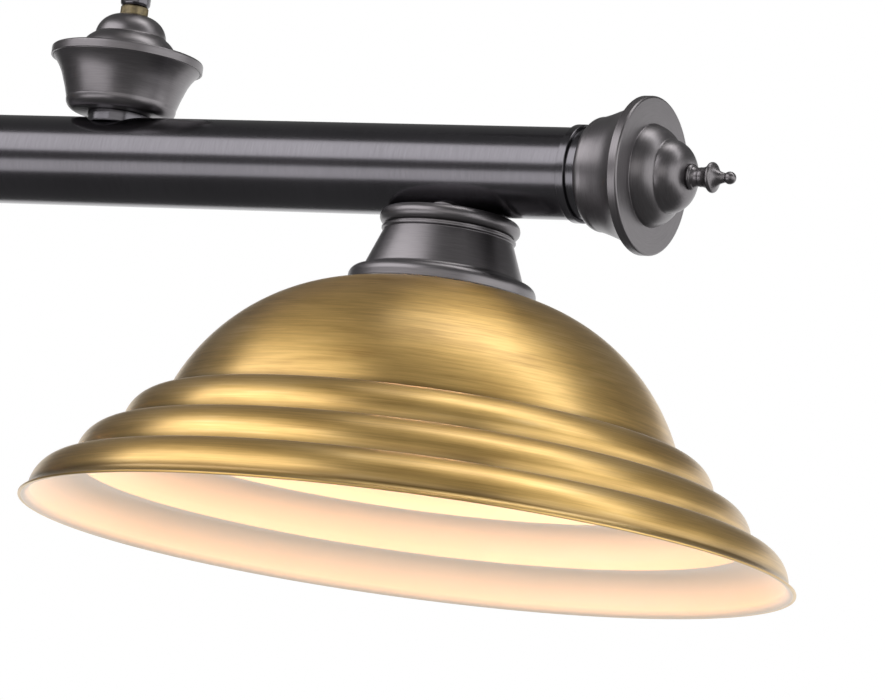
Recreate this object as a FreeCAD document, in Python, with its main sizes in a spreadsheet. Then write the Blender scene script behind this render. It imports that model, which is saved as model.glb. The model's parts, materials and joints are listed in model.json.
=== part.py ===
import FreeCAD, Part
import math
import os
import Sketcher

# A three-shade pool table lamp. Millimetres, +Z up, +X along the bar. The origin is the centre
# of the middle shade's rim, so the rims stand at height 0 and the bar's axis at bar_height.

doc = FreeCAD.newDocument("PoolTableLamp")

# ---------------------------------------------------------------- driving dimensions

driving = {
    "shade_spacing": (581.3, "distance between neighbouring shade axes"),
    "hang_offset": (186.2, "hang fitting inward from the outer shade axis"),
    "bar_height": (176.0, "bar axis above the shade rims"),
    "bar_radius": (21.1, "bar tube outside"),
    "bar_wall": (1.6, "bar tube wall"),
    "sheet": (1.0, "spun sheet metal"),
    "nipple_radius": (4.9, "threaded nipples"),
    "nipple_bore": (3.2, "wire way through the nipples"),
    "nipple_hole": (5.1, "clearance hole for a nipple"),
    "shade_hole": (20.8, "hole in the top of a shade"),
    "crown_radius": (25.4, "flat crown of a shade"),
    "crown_height": (119.6, "crown above the rim"),
    "dome_arc": (98.2, "dome arc of a shade"),
    "dome_edge": (117.5, "outer edge of the dome"),
    "dome_edge_height": (55.4, "dome edge above the rim"),
    "rib_first": (135.4, "wall radius under the first rib"),
    "rib_step": (19.15, "each rib is this much wider"),
    "rib_drop": (17.8, "each rib is this much lower"),
    "rib_top": (41.4, "lower end of the first rib's round above the rim"),
    "rib_wall": (3.8, "plain wall under a rib"),
    "rib_arc": (17.4, "round of a rib"),
    "lip_height": (4.0, "height of the flared lip"),
    "lip_arc": (4.4, "flare of the lip"),
    "shade_radius": (177.8, "outside of the lip"),
    "holder_base": (43.3, "shade holder's base ring"),
    "holder_seat": (118.3, "underside of the base ring above the rim"),
    "holder_foot": (36.5, "cone at its foot"),
    "holder_neck": (30.0, "cone at its top"),
    "holder_lip": (31.0, "thin lip on the holder"),
    "holder_top": (146.0, "top of the holder above the rim"),
    "collar_radius": (32.3, "neck collar between holder and bar"),
    "collar_bottom": (147.0, "neck collar's bead above the rim"),
    "collar_top": (154.4, "neck collar's top above the rim"),
    "boss_radius": (12.0, "collar's boss that the bar lies in"),
    "boss_depth": (14.0, "boss's top below the bar axis"),
    "socket_radius": (19.8, "lamp socket outside"),
    "socket_mouth": (109.5, "mouth of the socket above the rim"),
    "socket_top": (144.6, "top of the socket above the rim"),
    "ring_radius": (29.0, "shade ring under the crown"),
    "base_radius": (13.1, "bulb's screw base"),
    "base_wall": (0.5, "wall of the screw base"),
    "glass_wall": (0.8, "wall of the bulb"),
    "shell_gap": (1.5, "between screw base and socket bore"),
    "socket_roof": (7.0, "thickness of the socket's closed top"),
    "nipple_seat": (6.0, "lamp nipple's depth in the socket"),
    "bulb_radius": (30.0, "bulb at its widest"),
    "bulb_centre": (65.0, "widest point of the bulb above the rim"),
    "cup_length": (24.6, "bell cup from small end to rim"),
    "cup_shoulder": (26.2, "bell cup's shoulder"),
    "cup_end": (21.6, "flat small end of a bell cup"),
    "shoulder_height": (5.4, "bell cup's shoulder from its small end"),
    "cup_belly": (28.9, "bell cup between shoulder and rim"),
    "belly_height": (14.0, "that place from the small end"),
    "cup_rim": (35.0, "bell cup at its rim"),
    "cap_radius": (36.1, "cap flange"),
    "cap_band": (4.5, "height of the cap's band"),
    "cap_step": (23.5, "foot of the cap's step"),
    "cap_neck": (17.2, "foot of the cap's dome"),
    "step_rise": (8.7, "rise of the step"),
    "dome_rise": (10.4, "rise of the dome"),
    "step_round": (13.0, "round of the step"),
    "dome_round": (11.2, "round of the dome"),
    "saddle_radius": (15.0, "saddle washer on the bar"),
    "saddle_foot": (17.0, "flank of the saddle washer above the bar axis"),
    "saddle_top": (22.6, "top of the saddle washer above the bar axis"),
    "ferrule_radius": (22.5, "ring near the bar's end"),
    "ferrule_start": (62.3, "ring outward from the outer shade axis"),
    "ferrule_length": (4.2, "length of the ring"),
    "end_cup_start": (71.4, "end cup outward from the outer shade axis"),
    "bar_overlap": (76.0, "bar's end outward from the outer shade axis"),
    "finial_length": (22.6, "finial from the cap's dome to its tip"),
    "finial_spigot": (3.0, "finial's spigot inside the cap"),
    "plug_length": (9.0, "plug in the bar's end"),
    "stud_length": (50.0, "stud from plug to finial"),
    "nut_corner": (8.2, "hexagonal nut over its corners, half"),
    "nut_height": (2.5, "hexagonal nut"),
    "knuckle_radius": (7.1, "swivel barrels, blocks and rod ends"),
    "slot_half": (2.8, "half the slot in a swivel"),
    "tongue_half": (2.5, "half the tongue that turns in a slot"),
    "tongue_tip": (6.4, "rounded end of a tongue"),
    "shoulder_gap": (7.6, "shoulder of a tongue from its pivot"),
    "pin_radius": (1.6, "swivel pins"),
    "pin_bore": (1.65, "hole in a tongue for its pin"),
    "pin_half": (7.0, "half the length of a swivel pin"),
    "lower_pivot": (95.0, "lower pivot above the bar axis"),
    "barrel_depth": (20.0, "barrel's foot below its pivot"),
    "lock_radius": (6.6, "knurled lock ring"),
    "lock_height": (4.2, "height of the lock ring"),
    "rod_length": (304.8, "hanging rod tube"),
    "rod_radius": (6.35, "hanging rod tube outside"),
    "rod_bore": (5.2, "hanging rod tube inside"),
    "end_cap_length": (15.6, "rod end from its pivot to the tube"),
    "block_height": (20.0, "between the two pivots of a swivel block"),
    "stem_foot": (14.0, "hanger's barrel above its pivot"),
    "canopy_radius": (63.5, "ceiling canopy"),
    "canopy_depth": (27.0, "depth of the canopy"),
    "canopy_gap": (6.5, "knurled nut under the canopy"),
    "canopy_nut": (9.0, "radius of that nut"),
    "strap_length": (104.0, "mounting strap in the canopy"),
    "strap_width": (16.0, "width of the strap"),
    "strap_thickness": (2.5, "thickness of the strap"),
    "strap_hole": (2.2, "screw holes of the strap"),
    "strap_spacing": (88.9, "distance between the strap's screw holes"),
    "wire_radius": (1.1, "insulated wire"),
    "wire_bend": (9.0, "bend of a wire"),
    "wire_half": (1.3, "half the distance between the two wires of a pair"),
    "wire_step": (4.0, "between the levels of the pairs in the bar"),
    "wire_foot": (2.0, "wire's end below the socket's top"),
    "wire_end": (12.0, "wire's end beside the right hang nipple"),
}

sheet = doc.addObject("Spreadsheet::Sheet", "Sizes")
for row, (name, (number, note)) in enumerate(driving.items(), 1):
    sheet.set(f"A{row}", note)
    sheet.set(f"B{row}", str(number))
    sheet.setAlias(f"B{row}", name)
doc.recompute()


class Size:
    """A number that also carries the spreadsheet expression it comes from."""

    def __init__(self, value, text):
        self.value = value
        self.text = text

    def join(self, other, sign, value, swapped=False):
        left, right = self.text, textOf(other)
        if swapped:
            left, right = right, left
        return Size(value, f"({left} {sign} {right})")

    def __add__(self, other):
        return self.join(other, "+", self.value + valueOf(other))

    def __radd__(self, other):
        return self.join(other, "+", self.value + valueOf(other), True)

    def __sub__(self, other):
        return self.join(other, "-", self.value - valueOf(other))

    def __rsub__(self, other):
        return self.join(other, "-", valueOf(other) - self.value, True)

    def __mul__(self, other):
        return self.join(other, "*", self.value * valueOf(other))

    def __rmul__(self, other):
        return self.join(other, "*", self.value * valueOf(other), True)

    def __truediv__(self, other):
        return self.join(other, "/", self.value / valueOf(other))

    def __neg__(self):
        return self * -1


def valueOf(thing):
    return thing.value if isinstance(thing, Size) else thing


def textOf(thing):
    return thing.text if isinstance(thing, Size) else f"({thing})"


class Sheet:
    """Each alias of the spreadsheet as an attribute."""

    def __init__(self):
        for alias in driving:
            setattr(self, alias, Size(driving[alias][0], f"Sizes.{alias}"))


s = Sheet()
subParts = []


# ---------------------------------------------------------------- sketches and features

def newBody(label):
    body = doc.addObject("PartDesign::Body", "Body")
    body.Label = label
    return body


def planeOf(body, role):
    return [f for f in body.Origin.OriginFeatures if f.Role == role][0]


def newSketch(body, role):
    sketch = body.newObject("Sketcher::SketchObject", "Sketch")
    sketch.AttachmentSupport = [(planeOf(body, role), "")]
    sketch.MapMode = "FlatFace"
    return sketch


def bind(sketch, constraint, size):
    index = sketch.addConstraint(constraint)
    if isinstance(size, Size):
        sketch.renameConstraint(index, f"size{index}")
        sketch.setExpression(f"Constraints.size{index}", size.text)


def pin(sketch, geometry, point, across, up):
    """Holds a point at a place measured from the sketch's origin."""
    for kind, size, axis in (("DistanceX", across, -2), ("DistanceY", up, -1)):
        if valueOf(size) == 0:
            sketch.addConstraint(Sketcher.Constraint("PointOnObject", geometry, point, axis))
        else:
            number = float(valueOf(size))
            bind(sketch, Sketcher.Constraint(kind, -1, 1, geometry, point, number), size)


def arcBetween(start, end, radius):
    """The short arc from start to end. A positive radius turns left on the way, a negative one right."""
    chord = end - start
    middle = (start + end) * 0.5
    rise = math.sqrt(radius ** 2 - (chord.Length / 2) ** 2)
    left = FreeCAD.Vector(-chord.y, chord.x, 0).normalize()
    centre = middle + left * (rise if radius > 0 else -rise)
    first, last = (start, end) if radius > 0 else (end, start)
    angles = [math.atan2(p.y - centre.y, p.x - centre.x) for p in (first, last)]
    circle = Part.Circle(centre, FreeCAD.Vector(0, 0, 1), abs(radius))
    return Part.ArcOfCircle(circle, angles[0], angles[1])


def outline(sketch, corners):
    """A closed outline. A corner is (across, up), or (across, up, radius) where an arc starts there."""
    points = [FreeCAD.Vector(valueOf(c[0]), valueOf(c[1]), 0) for c in corners]
    ends = []
    for i, corner in enumerate(corners):
        start, end = points[i], points[(i + 1) % len(points)]
        if len(corner) == 3:
            radius = valueOf(corner[2])
            sketch.addGeometry(arcBetween(start, end, radius), False)
            ends.append((1, 2) if radius > 0 else (2, 1))
        else:
            sketch.addGeometry(Part.LineSegment(start, end), False)
            ends.append((1, 2))
    for i, corner in enumerate(corners):
        after = (i + 1) % len(corners)
        sketch.addConstraint(Sketcher.Constraint("Coincident", i, ends[i][1], after, ends[after][0]))
        pin(sketch, i, ends[i][0], corner[0], corner[1])
        if len(corner) == 3:
            size = corner[2] if valueOf(corner[2]) > 0 else -1 * corner[2]
            bind(sketch, Sketcher.Constraint("Radius", i, float(valueOf(size))), size)


def ringOf(sketch, across, up, radius):
    """A circle; across and up may be 0."""
    centre = FreeCAD.Vector(valueOf(across), valueOf(up), 0)
    index = sketch.addGeometry(Part.Circle(centre, FreeCAD.Vector(0, 0, 1), valueOf(radius)), False)
    pin(sketch, index, 3, across, up)
    bind(sketch, Sketcher.Constraint("Radius", index, float(valueOf(radius))), radius)


def turned(label, corners):
    """A body of revolution about Z from an outline of (radius, height) corners."""
    body = newBody(label)
    sketch = newSketch(body, "XZ_Plane")
    outline(sketch, corners)
    turn = body.newObject("PartDesign::Revolution", "Turn")
    turn.Profile = sketch
    turn.ReferenceAxis = (sketch, ["V_Axis"])
    turn.Angle = 360
    body.Tip = turn
    return body


def spun(label, corners, inward, upward, rim=()):
    """A spun shell: the outer outline from hole to rim, and the same line moved by one sheet."""
    t = s.sheet
    shift = [(c[0] + inward * t, c[1] + upward * t) for c in corners]
    shift[0] = (corners[0][0], corners[0][1] + upward * t)
    inner = []
    for i in range(len(corners) - 1, -1, -1):
        corner = shift[i]
        if i > 0 and len(corners[i - 1]) == 3:
            corner = corner + (-1 * corners[i - 1][2],)
        inner.append(corner)
    return turned(label, list(corners) + list(rim) + inner)


def cutThrough(body, role, draw, side="Symmetric", reverse=False):
    """Cuts what draw() sketches on an origin plane right through the body."""
    doc.recompute()
    before = body.Shape.Volume
    sketch = newSketch(body, role)
    draw(sketch)
    pocket = body.newObject("PartDesign::Pocket", "Cut")
    pocket.Profile = sketch
    pocket.Type = "ThroughAll"
    pocket.SideType = side
    pocket.Reversed = reverse
    body.Tip = pocket
    doc.recompute()
    if body.Shape.Volume > before - 0.01:
        raise SystemExit(f"{body.Label}: a cut removed nothing")


def place(thing, x=0, y=0, z=0, axis=(0, 0, 1), angle=0):
    """Puts a sub-part in the lamp; the place is bound to the sheet."""
    spot = FreeCAD.Vector(valueOf(x), valueOf(y), valueOf(z))
    thing.Placement = FreeCAD.Placement(spot, FreeCAD.Rotation(FreeCAD.Vector(*axis), angle))
    for letter, size in (("x", x), ("y", y), ("z", z)):
        if isinstance(size, Size):
            thing.setExpression(f"Placement.Base.{letter}", size.text)
    return thing


def keep(thing):
    subParts.append(thing)
    return thing


def group(label, members):
    """Several loose pieces of one kind in one node."""
    bundle = doc.addObject("Part::Compound", "Group")
    bundle.Label = label
    bundle.Links = members
    return keep(bundle)


lamps = {"left": -1 * s.shade_spacing, "middle": 0, "right": 1 * s.shade_spacing}
sides = {"left": -1, "right": 1}
outX, downZ = (0, 1, 0), (1, 0, 0)


def hangX(side):
    return sides[side] * (s.shade_spacing - s.hang_offset)


# ---------------------------------------------------------------- the bar and its ends

def barTube():
    body = newBody("bar_tube")
    sketch = newSketch(body, "YZ_Plane")
    ringOf(sketch, 0, 0, s.bar_radius)
    ringOf(sketch, 0, 0, s.bar_radius - s.bar_wall)
    pad = body.newObject("PartDesign::Pad", "Tube")
    pad.Profile = sketch
    pad.SideType = "Symmetric"
    pad.setExpression("Length", (2 * (s.shade_spacing + s.bar_overlap)).text)
    body.Tip = pad

    def lampHoles(sketch):
        for x in lamps.values():
            ringOf(sketch, x, 0, s.nipple_hole)

    def hangHoles(sketch):
        for side in sides:
            ringOf(sketch, hangX(side), 0, s.nipple_hole)

    cutThrough(body, "XY_Plane", lampHoles, "One side")
    cutThrough(body, "XY_Plane", hangHoles, "One side", True)
    keep(place(body, z=s.bar_height))


def bellCup(label, hole):
    """A bell-shaped cup: small end at 0, rim at cup_length."""
    return spun(label, [
        (hole, 0),
        (s.cup_end, 0, 4.9),
        (s.cup_shoulder, s.shoulder_height, -62),
        (s.cup_belly, s.belly_height, -26),
        (s.cup_rim, s.cup_length),
    ], -1, 1, [(s.cup_rim, s.cup_length + s.sheet)])


def capLid(label):
    """The flanged lid that closes a bell cup: band, flat, step and dome, with a hole on top."""
    step = s.cap_band + s.step_rise
    edge = 1.1
    return spun(label, [
        (s.nipple_hole, step + s.dome_rise),
        (s.nipple_hole + 0.6, step + s.dome_rise, -1 * s.dome_round),
        (s.cap_neck - 0.3, step + 0.4),
        (s.cap_neck, step, -1 * s.step_round),
        (s.cap_step, s.cap_band),
        (s.cap_radius - edge, s.cap_band, -edge),
        (s.cap_radius, s.cap_band - edge),
    ], -1, -1, [(s.cap_radius, 0), (s.cap_radius - s.sheet, 0)])


def finial(label):
    """A turned finial: foot, neck, disc bead and a small ball."""
    tip, spigot = s.finial_length, 4.2
    return turned(label, [
        (0, -1 * s.finial_spigot),
        (spigot, -1 * s.finial_spigot),
        (spigot, 0),
        (5.6, 0, 1.3),
        (4.9, 2.2, -4.0),
        (4.5, 5.4, -5.0),
        (6.75, 10.2, 1.2),
        (6.3, 12.0, -6.0),
        (2.5, tip - 6.6),
        (2.1, tip - 4.9, 2.9),
        (0, tip),
    ])


def endPlug(label):
    """A plug in the bar's end with a threaded hole for the stud."""
    inside, length = s.bar_radius - s.bar_wall, s.plug_length
    return turned(label, [(s.nipple_radius, 0), (inside, 0), (inside, length), (s.nipple_radius, length)])


def ferrule(label):
    """A ring round the bar with rounded edges."""
    edge = 0.5
    return turned(label, [
        (s.bar_radius, 0),
        (s.ferrule_radius - edge, 0, edge),
        (s.ferrule_radius, edge),
        (s.ferrule_radius, s.ferrule_length - edge, edge),
        (s.ferrule_radius - edge, s.ferrule_length),
        (s.bar_radius, s.ferrule_length),
    ])


def stud(label):
    """The threaded rod between plug and finial."""
    length = s.stud_length
    return turned(label, [(0, 0), (s.nipple_radius, 0), (s.nipple_radius, length), (0, length)])


def barEnds():
    plugs, studs, ferrules = [], [], []
    for side, way in sides.items():
        start = s.shade_spacing + s.end_cup_start
        rim = start + s.cup_length
        dome = rim + s.cap_band + s.step_rise + s.dome_rise
        plugFoot = s.shade_spacing + s.bar_overlap - s.plug_length
        studFoot = dome - s.finial_spigot - s.stud_length
        turnTo = dict(z=s.bar_height, axis=outX, angle=90 * way)

        keep(place(bellCup(f"{side}_end_cup", s.bar_radius), x=way * start, **turnTo))
        keep(place(capLid(f"{side}_end_cap"), x=way * rim, **turnTo))
        keep(place(finial(f"{side}_finial"), x=way * dome, **turnTo))
        ferrules.append(place(ferrule("ferrule"), x=way * (s.shade_spacing + s.ferrule_start), **turnTo))
        plugs.append(place(endPlug("plug"), x=way * plugFoot, **turnTo))
        studs.append(place(stud("stud"), x=way * studFoot, **turnTo))
    group("bar_ferrules", ferrules)
    group("end_plugs", plugs)
    group("end_studs", studs)


# ---------------------------------------------------------------- one lamp under the bar

def shade(label):
    corners = [
        (s.shade_hole, s.crown_height),
        (s.crown_radius, s.crown_height, -1 * s.dome_arc),
        (s.dome_edge, s.dome_edge_height, -1 * s.rib_arc),
    ]
    for rib in range(3):
        wall = s.rib_first + rib * s.rib_step
        foot = s.rib_top - rib * s.rib_drop
        corners.append((wall, foot))
        if rib < 2:
            corners.append((wall, foot - s.rib_wall, -1 * s.rib_arc))
    wall = s.rib_first + 2 * s.rib_step
    corners.append((wall, s.lip_height, s.lip_arc))
    corners.append((s.shade_radius, s.sheet))
    return spun(label, corners, -1, -1, [(s.shade_radius, 0)])


def shadeHolder(label):
    """A spun cone with a rounded base ring, and a flat top whose edge stands out as a thin lip."""
    t, seat, top = s.sheet, s.holder_seat, s.holder_top
    return turned(label, [
        (s.nipple_hole, top),
        (s.holder_lip, top),
        (s.holder_lip, top - t),
        (s.holder_neck, top - t - 0.6),
        (s.holder_foot, seat + 9.2, 2.4),
        (s.holder_foot + 2.0, seat + 7.2),
        (s.holder_base - 2.6, seat + 7.0, -4.6),
        (s.holder_base, seat + 2.4),
        (s.holder_base, seat),
        (s.holder_base - t, seat),
        (s.holder_base - t, seat + 2.4, 4.6),
        (s.holder_base - t - 2.0, seat + 7.0 - t),
        (s.holder_foot + 1.0, seat + 7.2 - t, -2.4),
        (s.holder_foot - t, seat + 9.2 - t),
        (s.holder_neck - t, top - t),
        (s.nipple_hole, top - t),
    ])


def neckCollar(label):
    """The bead between holder and bar, with a saddle on top that the bar lies in."""
    boss, neck = s.bar_height - s.boss_depth, s.collar_radius - 2.6
    body = turned(label, [
        (s.nipple_hole, s.holder_top),
        (neck - 0.2, s.holder_top),
        (neck - 0.2, s.collar_bottom),
        (neck, s.collar_bottom, 3.9),
        (neck, s.collar_top),
        (s.boss_radius, s.collar_top),
        (s.boss_radius, boss),
        (s.nipple_hole, boss),
    ])
    cutThrough(body, "YZ_Plane", lambda sketch: ringOf(sketch, 0, s.bar_height, s.bar_radius))
    return body


def socketBody(label):
    """A glazed socket: closed top with a threaded hub, open mouth, groove for the shade ring."""
    bore, roof, edge = s.base_radius + s.shell_gap, s.socket_top - s.socket_roof, 3.0
    return turned(label, [
        (s.nipple_radius, s.socket_top),
        (s.socket_radius - edge, s.socket_top, -edge),
        (s.socket_radius, s.socket_top - edge),
        (s.socket_radius, s.socket_mouth),
        (bore, s.socket_mouth),
        (bore, roof),
        (s.nipple_radius, roof),
    ])


def screwShell(label):
    """The socket's threaded metal shell, with a lip under the socket's top."""
    bore, roof, mouth = s.base_radius + s.shell_gap, s.socket_top - s.socket_roof, s.socket_mouth + 2.5
    inside, lip, wall = s.base_radius + 0.4, s.base_radius - 3.0, 0.8
    return turned(label, [
        (inside, mouth),
        (bore, mouth),
        (bore, roof),
        (lip, roof),
        (lip, roof - wall),
        (inside, roof - wall),
    ])


def shadeRing(label):
    """The ring that screws up the socket and clamps the shade's crown."""
    top = s.crown_height - s.sheet
    return turned(label, [
        (s.socket_radius, top - 5.0),
        (s.ring_radius - 4.0, top - 5.0),
        (s.ring_radius, top - 1.6),
        (s.ring_radius, top - 0.6),
        (s.ring_radius - 5.0, top),
        (s.socket_radius, top),
    ])


def bulbGlass(label):
    """The bulb's thin glass, open at the foot where the base closes it."""
    foot, r, centre, wall = s.socket_mouth + 1.0, s.bulb_radius, s.bulb_centre, s.glass_wall
    neckRound, shoulder = 107, r - 4.4
    return turned(label, [
        (0, centre - r, 1 * r),
        (r, centre, 1 * r),
        (shoulder, centre + 15.6, -neckRound),
        (s.base_radius, foot),
        (s.base_radius - wall, foot, neckRound),
        (shoulder - 0.7, centre + 15.2, -1 * (r - wall)),
        (r - wall, centre, -1 * (r - wall)),
        (0, centre - r + wall),
    ])


def bulbBase(label):
    """The bulb's screw base: a thin shell with a solid insulated contact on top."""
    foot, r, wall = s.socket_mouth + 1.0, s.base_radius, s.base_wall
    return turned(label, [
        (r - wall, foot),
        (r, foot),
        (r, foot + 18.0),
        (5.0, foot + 23.0),
        (4.0, foot + 25.2),
        (0, foot + 25.2),
        (0, foot + 19.0),
        (r - wall, foot + 17.0),
    ])


def lockNut(label):
    """A hexagonal lock nut."""
    body = newBody(label)
    sketch = newSketch(body, "XY_Plane")
    angles = [math.radians(60 * k) for k in range(6)]
    outline(sketch, [(s.nut_corner * math.cos(a), s.nut_corner * math.sin(a)) for a in angles])
    ringOf(sketch, 0, 0, s.nipple_radius)
    pad = body.newObject("PartDesign::Pad", "Nut")
    pad.Profile = sketch
    pad.setExpression("Length", s.nut_height.text)
    body.Tip = pad
    return body


def threadedNipple(label, length):
    return turned(label, [
        (s.nipple_bore, 0),
        (s.nipple_radius, 0),
        (s.nipple_radius, length),
        (s.nipple_bore, length),
    ])


def lampUnits():
    nipples, nuts, shells, rings = [], [], [], []
    floorOfBar = s.bar_height - s.bar_radius + s.bar_wall
    nippleFoot = s.socket_top - s.nipple_seat
    for name, x in lamps.items():
        keep(place(shade(f"{name}_shade"), x=x))
        keep(place(shadeHolder(f"{name}_shade_holder"), x=x))
        keep(place(neckCollar(f"{name}_neck_collar"), x=x))
        keep(place(socketBody(f"{name}_socket"), x=x))
        keep(place(bulbGlass(f"{name}_bulb_glass"), x=x))
        keep(place(bulbBase(f"{name}_bulb_base"), x=x))
        shells.append(place(screwShell("shell"), x=x))
        rings.append(place(shadeRing("ring"), x=x))
        nipple = threadedNipple("nipple", floorOfBar + 5.0 - nippleFoot)
        nipples.append(place(nipple, x=x, z=nippleFoot))
        nuts.append(place(lockNut("nut"), x=x, z=floorOfBar + 1.5))
    group("socket_screw_shells", shells)
    group("shade_rings", rings)
    group("lamp_nipples", nipples)
    group("lamp_nipple_nuts", nuts)


# ---------------------------------------------------------------- hang fittings and swivels

def saddleWasher(label):
    body = turned(label, [
        (s.nipple_hole, s.saddle_foot),
        (s.saddle_radius, s.saddle_foot),
        (s.saddle_radius, s.saddle_top),
        (s.nipple_hole, s.saddle_top),
    ])
    cutThrough(body, "YZ_Plane", lambda sketch: ringOf(sketch, 0, 0, s.bar_radius))
    return body


def forked(body, crossPlane, facePlane, way):
    """Rounds one end of a barrel and cuts its slot and pin hole. The pivot is at the origin."""
    r, half = s.knuckle_radius, s.slot_half
    side, beyond = r + 1, way * (r + 2)

    def roundEnd(sketch):
        outline(sketch, [(r, 0, way * r), (0, way * r, way * r), (-1 * r, 0), (-1 * side, 0),
                         (-1 * side, beyond), (side, beyond), (side, 0)])

    def slot(sketch):
        foot = -1 * way * r
        outline(sketch, [(-1 * half, foot), (half, foot), (half, beyond), (-1 * half, beyond)])

    cutThrough(body, facePlane, roundEnd)
    cutThrough(body, crossPlane, slot)
    cutThrough(body, facePlane, lambda sketch: ringOf(sketch, 0, 0, s.pin_radius))
    return body


def tongued(body, crossPlane, facePlane, way, pivot=0):
    """Leaves a flat tongue with a round tip beyond the shoulder, and drills its pin hole."""
    w, tip, side = s.tongue_half, s.tongue_tip, s.knuckle_radius + 1
    shoulder, beyond = pivot - way * s.shoulder_gap, pivot + way * side

    def flank(hand):
        corners = [(hand * w, shoulder), (hand * side, shoulder), (hand * side, beyond), (hand * w, beyond)]
        return lambda sketch: outline(sketch, corners)

    def tipRound(sketch):
        outline(sketch, [(tip, pivot, way * tip), (0, pivot + way * tip, way * tip), (-1 * tip, pivot),
                         (-1 * tip, shoulder), (-1 * side, shoulder), (-1 * side, beyond),
                         (side, beyond), (side, shoulder), (tip, shoulder)])

    cutThrough(body, crossPlane, flank(1))
    cutThrough(body, crossPlane, flank(-1))
    cutThrough(body, facePlane, tipRound)
    cutThrough(body, facePlane, lambda sketch: ringOf(sketch, 0, pivot, s.pin_bore))
    return body


def lowerBarrel(label):
    """A barrel with a rounded foot, slotted at the top for the rod's tongue."""
    r, foot, edge = s.knuckle_radius, -1 * s.barrel_depth, 2.2
    bore, boreTop = s.nipple_radius, foot + 8.0
    body = turned(label, [(bore, foot), (r - edge, foot, edge), (r, foot + edge), (r, r), (0, r),
                          (0, boreTop), (bore, boreTop)])
    return forked(body, "YZ_Plane", "XZ_Plane", 1)


def rodEnd(label):
    """A tongue with a round tip, a shoulder, and a stub that goes into the rod."""
    r, tip, shoulder = s.knuckle_radius, -1 * s.tongue_tip, s.end_cap_length
    stub = shoulder + 10.0
    body = turned(label, [(0, tip), (r, tip), (r, shoulder), (s.rod_bore, shoulder),
                          (s.rod_bore, stub), (0, stub)])
    return tongued(body, "YZ_Plane", "XZ_Plane", -1)


def swivelBlock(label):
    """Slotted at the bottom for the rod's tongue, with a crosswise tongue at the top."""
    r, top = s.knuckle_radius, s.block_height + s.tongue_tip
    body = turned(label, [(0, -1 * r), (r, -1 * r), (r, top), (0, top)])
    forked(body, "YZ_Plane", "XZ_Plane", -1)
    return tongued(body, "XZ_Plane", "YZ_Plane", 1, s.block_height)


def swivelPin(label):
    """A pin along Z with shallow domed ends."""
    half, r, edge, dome = s.pin_half, s.pin_radius, 0.3, 0.4
    return turned(label, [(0, -1 * half - dome), (r - 0.5, -1 * half - edge), (r, -1 * half), (r, half),
                          (r - 0.5, half + edge), (0, half + dome)])


def lockRing(label):
    """The knurled ring between cap and barrel."""
    r, top, edge = s.lock_radius, s.lock_height, 0.4
    return turned(label, [(s.nipple_radius, 0), (r - edge, 0), (r, edge), (r, top - edge), (r - edge, top),
                          (s.nipple_radius, top)])


def hangFittings():
    rings, nipples, nuts, washers, pins = [], [], [], [], []
    axisHeight = s.bar_height
    pivot = axisHeight + s.lower_pivot
    cupFoot = axisHeight + s.saddle_top
    capFoot = cupFoot + s.cup_length
    dome = capFoot + s.cap_band + s.step_rise + s.dome_rise
    ceilingOfBar = axisHeight + s.bar_radius - s.bar_wall
    nippleFoot = ceilingOfBar - 6.0
    nippleTop = pivot - s.barrel_depth + 7.0
    for side in sides:
        x = hangX(side)
        washers.append(place(saddleWasher("washer"), x=x, z=axisHeight))
        keep(place(bellCup(f"{side}_hang_cup", s.nipple_hole), x=x, z=cupFoot))
        keep(place(capLid(f"{side}_hang_cap"), x=x, z=capFoot))
        keep(place(lowerBarrel(f"{side}_lower_barrel"), x=x, z=pivot))
        rings.append(place(lockRing("ring"), x=x, z=dome))
        nipples.append(place(threadedNipple("nipple", nippleTop - nippleFoot), x=x, z=nippleFoot))
        nuts.append(place(lockNut("nut"), x=x, z=nippleFoot + 2.0))
        pins.append(place(swivelPin("pin"), x=x, z=pivot, axis=downZ, angle=90))
    group("saddle_washers", washers)
    group("lock_rings", rings)
    group("hang_nipples", nipples)
    group("hang_nipple_nuts", nuts)
    group("lower_pins", pins)


def rodsAndSwivels():
    low = s.bar_height + s.lower_pivot
    high = low + s.rod_length + 2 * s.end_cap_length
    for side in sides:
        x = hangX(side)
        tube = turned(f"{side}_rod", [
            (s.rod_bore, 0), (s.rod_radius, 0), (s.rod_radius, s.rod_length), (s.rod_bore, s.rod_length),
        ])
        keep(place(tube, x=x, z=low + s.end_cap_length))
        bottom = place(rodEnd("end"), x=x, z=low)
        top = place(rodEnd("end"), x=x, z=high, axis=downZ, angle=180)
        group(f"{side}_rod_ends", [bottom, top])
        keep(place(swivelBlock(f"{side}_swivel_block"), x=x, z=high))
        keep(place(swivelPin(f"{side}_block_pin"), x=x, z=high, axis=downZ, angle=90))
    return high + s.block_height


# ---------------------------------------------------------------- ceiling parts

def hanger(label):
    """A barrel slotted at the bottom, with a threaded stem up to the strap."""
    r, top = s.knuckle_radius, s.stem_foot + s.canopy_gap + s.canopy_depth
    body = turned(label, [
        (0, -1 * r), (r, -1 * r), (r, s.stem_foot), (s.nipple_radius, s.stem_foot),
        (s.nipple_radius, top), (0, top),
    ])
    return forked(body, "XZ_Plane", "YZ_Plane", -1)


def canopy(label):
    """A spun ceiling cup, open at the ceiling; its foot is at 0."""
    return spun(label, [
        (s.nipple_hole, 0),
        (15.0, 0, 6.0),
        (19.0, 2.5, -9.0),
        (25.0, 5.0, 44.0),
        (s.canopy_radius - 2.0, s.canopy_depth - 5.0),
        (s.canopy_radius, s.canopy_depth - 5.0),
    ], -1, 1, [(s.canopy_radius, s.canopy_depth), (s.canopy_radius - s.sheet, s.canopy_depth)])


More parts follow.
